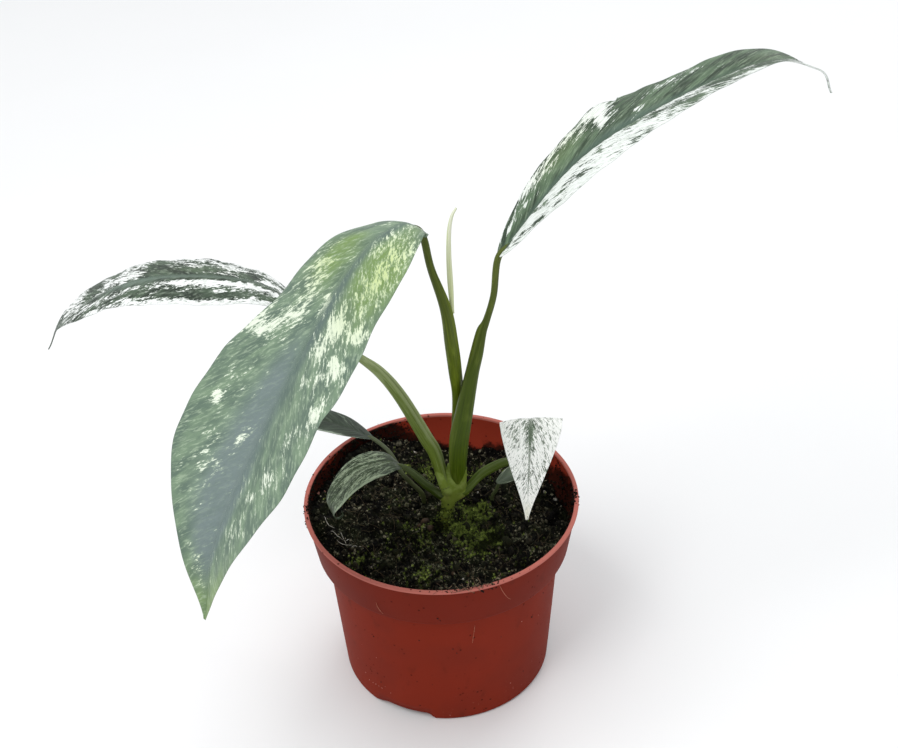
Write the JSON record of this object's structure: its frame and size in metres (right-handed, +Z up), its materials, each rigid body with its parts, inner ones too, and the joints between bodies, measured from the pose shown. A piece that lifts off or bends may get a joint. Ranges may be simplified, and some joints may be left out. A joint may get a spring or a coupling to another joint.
{
  "type": "potted epipremnum giganteum",
  "caption": "Variegated epipremnum giganteum in a round nursery pot: long arching blades on sheathed petioles from one short stem, with dark mossy soil.",
  "frame": {"origin": "middle of the plane that the pot stands on, on the pot's axis", "axes": "+Z up along the pot's axis, -Y to the front of the plant, +X along its widest reach, to the upper right leaf"},
  "size_m": [0.3206, 0.1652, 0.2827],
  "materials": {
    "pot_plastic": "moulded terracotta-red plastic, satin, with dirt specks",
    "peat": "moist dark peat with fibres and crumbs",
    "stem_green": "mossy green stem",
    "petiole_green": "smooth olive green, slightly glossy",
    "blade_lime": "grey-green with lime and cream flecks, satin sheen",
    "blade_streaked": "dark green with white streaks along the side veins",
    "blade_grey": "grey-green with fine pale streaks",
    "blade_white": "almost white with fine green speckles",
    "shoot_pale": "pale yellow-green, smooth"
  },
  "bodies": {
    "root": {"pot": "pot_plastic", "soil": "peat", "stem": "stem_green", "big_leaf_petiole": "petiole_green", "big_leaf_blade": "blade_lime", "right_leaf_petiole": "petiole_green", "right_leaf_blade": "blade_streaked", "far_leaf_petiole": "petiole_green", "far_leaf_blade": "blade_streaked", "small_leaf_petiole": "petiole_green", "small_leaf_blade": "blade_grey", "dark_leaf_petiole": "petiole_green", "dark_leaf_blade": "blade_grey", "white_leaf_petiole": "petiole_green", "white_leaf_blade": "blade_white", "tiny_leaf_petiole": "petiole_green", "tiny_leaf_blade": "blade_grey", "new_shoot": "shoot_pale"}
  },
  "joints": []
}
